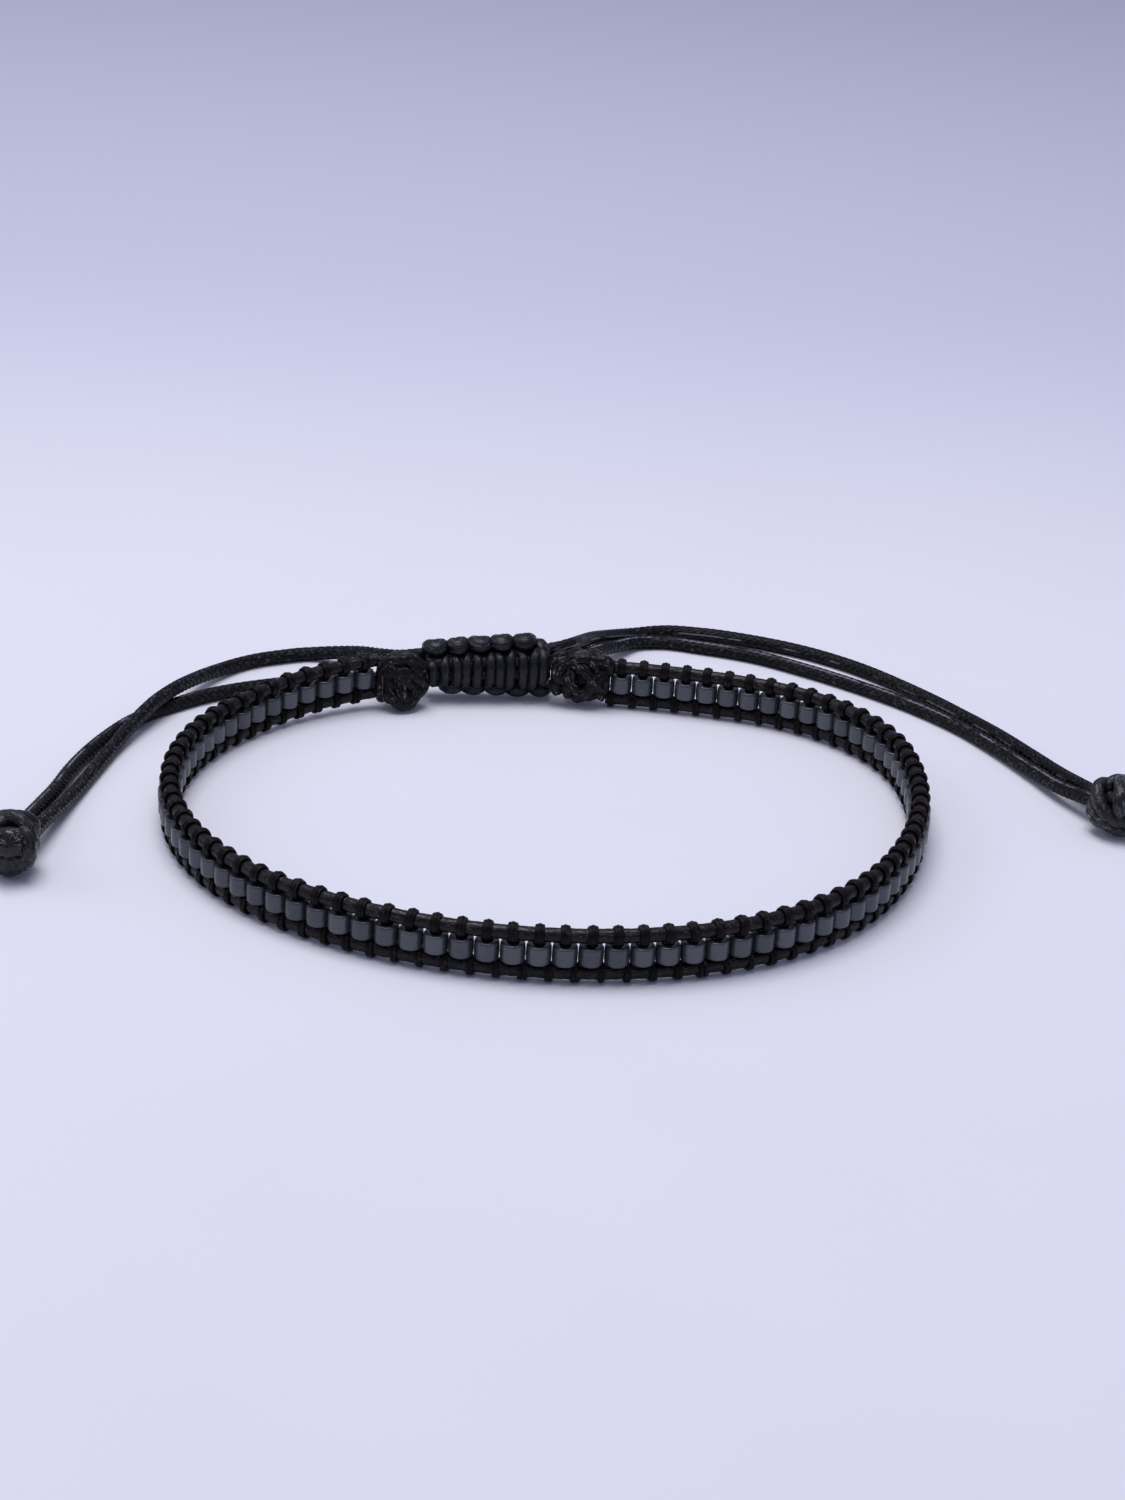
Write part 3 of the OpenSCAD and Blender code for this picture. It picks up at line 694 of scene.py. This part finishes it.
# the painted highlight line's share of the way round each tail
HIGHLIGHT_LINE_SHARES = {
    "left_outer_tail": 0.4,
    "left_inner_tail": 0.25,
    "right_outer_tail": 0.47,
    "right_inner_tail": 0.3,
}
for name, route in ROUTES.items():
    knot_x, knot_y, heading = END_KNOTS[name.split("_")[0]]
    c, s = np.cos(np.radians(heading)), np.sin(np.radians(heading))
    out = NECK_SIDE if "outer" in name else -NECK_SIDE
    end = [knot_x - NECK_OUT * c - out * s, knot_y - NECK_OUT * s + out * c, NECK_LIFT]
    side, lift = EXITS[name]
    start = placed(np.array([CLOSURE_MID + side * CLOSURE_LEN / 2, EXIT_IN, lift]), 0)
    path = curve(np.array([start, *route, end]) + TAIL / 2 * UP, 0.06)
    path[:, 2] = np.maximum(path[:, 2], TAIL / 2)
    wax = waxed_cord(f"waxed_braided_polyester_{name}", "#010102", "#202025", "#55535A",
                     roughness=0.2, gloss_index=1.2, fuzz=0.6, highlight_line_share=HIGHLIGHT_LINE_SHARES[name])
    grid = tube(path, UP, TAIL / 2 + RIDGE, TAIL / 2 + RIDGE, 32, GROOVE)
    piece(f"{name}_braid", [grid], wax, name)

# End knots. Each pair of tails is tied in one overhand knot and drawn up into a ball.
# The two ends are cut close to it and melted with a flame to glossy black drops.
BALL_MIDDLE = 2.3
# length of the melted end of a cord
MELTED = 1.3
BALLS = {
    # ring start, loops drawn over the ball, and its two cut ends with their half widths;
    # places are ahead, left and up
    "left": (
        0.3,
        [[[0.1, -1.2, 3.5], [0.1, -0.4, 4.0], [0.1, 0.5, 4.15], [0.2, 1.3, 3.75],
          [0.45, 1.75, 3.05], [0.8, 1.8, 2.35], [1.1, 1.5, 1.75], [1.1, 0.8, 1.4]],
         [[0.6, 1.2, 3.7], [0.9, 1.75, 3.15], [1.05, 1.95, 2.4], [1.0, 1.85, 1.7],
          [0.9, 1.4, 1.1]],
         [[1.2, 1.3, 1.9], [1.3, 1.2, 1.2], [1.2, 0.4, 0.75], [1.0, -0.6, 0.85]]],
        [[2.45, 1.0, 3.3, 0.98], [2.2, 0.5, 1.5, 0.7]]),
    "right": (
        1.2,
        [[[-1.2, -0.6, 3.2], [-1.2, 0.5, 3.6], [-0.6, 1.3, 3.5], [0.3, 1.6, 2.9],
          [0.9, 1.4, 2.0]],
         [[-1.5, -1.0, 2.3], [-1.1, -1.5, 1.5], [-0.2, -1.6, 1.2], [0.8, -1.4, 1.4]]],
        [[2.4, 0.5, 3.2, 0.6], [2.3, -0.4, 1.6, 0.6]]),
}
ball_braid = waxed_cord("waxed_braided_polyester_end_knot", "#020203", "#26262A", "#84828A",
                        roughness=0.2, gloss_index=1.4)
for name, (knot_x, knot_y, heading) in END_KNOTS.items():
    c, s = np.cos(np.radians(heading)), np.sin(np.radians(heading))
    axes = np.array([[c, s, 0], [-s, c, 0], [0, 0, 1]])
    origin = np.array([knot_x, knot_y, 0])
    start, loops, ends = BALLS[name]
    grids = []
    for path, out in overhand(2.1, 2.2, 2.15, 0.55, start):
        path = (path + BALL_MIDDLE * UP) @ axes + origin
        grids.append(ring_tube(path, out @ axes, 0.53, 22))
    for side in (-1, 1):
        neck = curve([[-NECK_OUT, side * NECK_SIDE, NECK_LIFT + TAIL / 2],
                      [-1.5, side * 0.5, 1.9], [-0.4, side * 0.4, BALL_MIDDLE]])
        grids.append(tube(neck @ axes + origin, UP, 0.52, 0.52, 22, BRAID_DEPTH))
    for loop in loops:
        path = curve(loop)
        out = (path - BALL_MIDDLE * UP) @ axes
        grids.append(tube(path @ axes + origin, out, 0.55, 0.53, 22, BRAID_DEPTH))
    for ahead, left, up, fat in ends:
        stub = curve([[0.2, 0.3, BALL_MIDDLE], [0.6 * ahead, 0.7 * left, 0.7 * up + 0.6],
                      [ahead, left, up]])
        molten = ease((distances(stub) - distances(stub)[-1] + MELTED) / 0.5)
        size = 0.5 + (fat - 0.5) * molten
        grids.append(tube(stub @ axes + origin, UP, size, size, 22, 0.03, tip=0.45,
                          melted=molten[None]))
    ball = piece(f"{name}_end_overhand", grids, ball_braid, f"{name}_end_knot",
                 closed=[0, 1])

# Surface, light and camera. The bracelet stands on its lower edge on pale matte paper,
# under a broad soft light from above and behind, as in a light tent. From here on
# lengths are in metres.
paper = bpy.data.materials.new("pale_paper")
paper.use_nodes = True
shader = paper.node_tree.nodes["Principled BSDF"]
place = add(paper, "ShaderNodeTexCoord").outputs["Object"]
# faint clouds of about 25 mm
grain = add(paper, "ShaderNodeTexNoise", {"Vector": place, "Scale": 40, "Detail": 3}).outputs["Fac"]
colour = add(paper, "ShaderNodeMix", {0: grain, 6: linear("#DDDFE5"), 7: linear("#E2E4EA")},
             data_type="RGBA").outputs[2]
# painted shade: behind the bracelet the paper grows darker and bluer, where the light falls off
depth = add(paper, "ShaderNodeSeparateXYZ", {"Vector": place}).outputs["Y"]
painted_falloff = add(paper, "ShaderNodeMapRange", {"Value": depth, "From Min": 0.03, "From Max": 0.16},
           interpolation_type="SMOOTHSTEP").outputs[0]
colour = add(paper, "ShaderNodeMix", {0: painted_falloff, 6: colour, 7: linear("#C9CBDB")},
             data_type="RGBA").outputs[2]
paper.node_tree.links.new(colour, shader.inputs["Base Color"])
shader.inputs["Roughness"].default_value = 0.8
# half the sheet's side, and its height, a hair under the lowest turns of thread
HALF_SHEET, SHEET_Z = 3, -0.00002
ways_out = ((-1, -1), (1, -1), (1, 1), (-1, 1))
sheet = bpy.data.meshes.new("surface")
sheet.from_pydata([(HALF_SHEET * x, HALF_SHEET * y, SHEET_Z) for x, y in ways_out], [], [(0, 1, 2, 3)])
surface = bpy.data.objects.new("surface", sheet)
sheet.materials.append(paper)
bpy.context.scene.collection.objects.link(surface)

# the tent glows a little more from above
world = bpy.data.worlds.new("light_tent")
world.use_nodes = True
aim = add(world, "ShaderNodeTexCoord").outputs["Generated"]
height = add(world, "ShaderNodeSeparateXYZ", {"Vector": aim}).outputs["Z"]
glow = add(world, "ShaderNodeMapRange",
           {"Value": height, "From Min": 0.0, "From Max": 1.0, "To Min": 0.33, "To Max": 0.51})
background = world.node_tree.nodes["Background"]
world.node_tree.links.new(glow.outputs[0], background.inputs["Strength"])
background.inputs["Color"].default_value = linear("#D6DAFF")
bpy.context.scene.world = world
bpy.context.scene.view_settings.view_transform = "Standard"


def aimed(obj, place, target, roll=0.0):
    """Puts an object at a place, looking down its own minus Z at the target.

    It is turned about that line by roll degrees from level.
    """
    back = unit(np.array(place) - np.array(target))
    right = unit(np.cross(UP, back))
    up = np.cross(back, right)
    c, s = np.cos(np.radians(roll)), np.sin(np.radians(roll))
    turned = np.eye(4)
    turned[:3] = np.stack([c * right + s * up, c * up - s * right, back, place], -1)
    obj.matrix_world = Matrix(turned.tolist())


LIGHT_COLOUR = (1, 0.96, 1)
LIGHTS = [
    # name, place, size, watts
    ["softbox_above", (-0.03, 0.03, 0.42), 0.27, 1.17],
    ["softbox_left", (-0.40, 0.06, 0.26), 0.26, 0.24],
    ["window_behind", (-0.14, 0.16, 0.42), 0.07, 0.12],
]
for name, spot, size, watts in LIGHTS:
    data = bpy.data.lights.new(name, "AREA")
    data.shape, data.size, data.energy, data.color = "SQUARE", size, watts, LIGHT_COLOUR
    lamp = bpy.data.objects.new(name, data)
    bpy.context.scene.collection.objects.link(lamp)
    aimed(lamp, spot, (0, 0, 0))

# The photograph's view: 23.5 degrees above the horizon from 230 mm away, leaning 3.3.
# The focal length is in the picture's pixels, the sensor's width in mm.
ELEVATION, DISTANCE, ROLL = np.radians(23.545), 0.22996, 3.279
FOCAL, PHOTO_WIDTH, SENSOR = 3101.3, 1125, 36
target = np.array([0.000899, 0.006037, 0.00325])
camera = bpy.data.cameras.new("camera")
camera.sensor_fit, camera.sensor_width = "HORIZONTAL", SENSOR
camera.lens = FOCAL / PHOTO_WIDTH * SENSOR
camera.clip_start, camera.clip_end = 0.01, 20
eye = bpy.data.objects.new("camera", camera)
bpy.context.scene.collection.objects.link(eye)
aimed(eye, target + DISTANCE * np.array([0, -np.cos(ELEVATION), np.sin(ELEVATION)]), target, ROLL)
bpy.context.scene.camera = eye
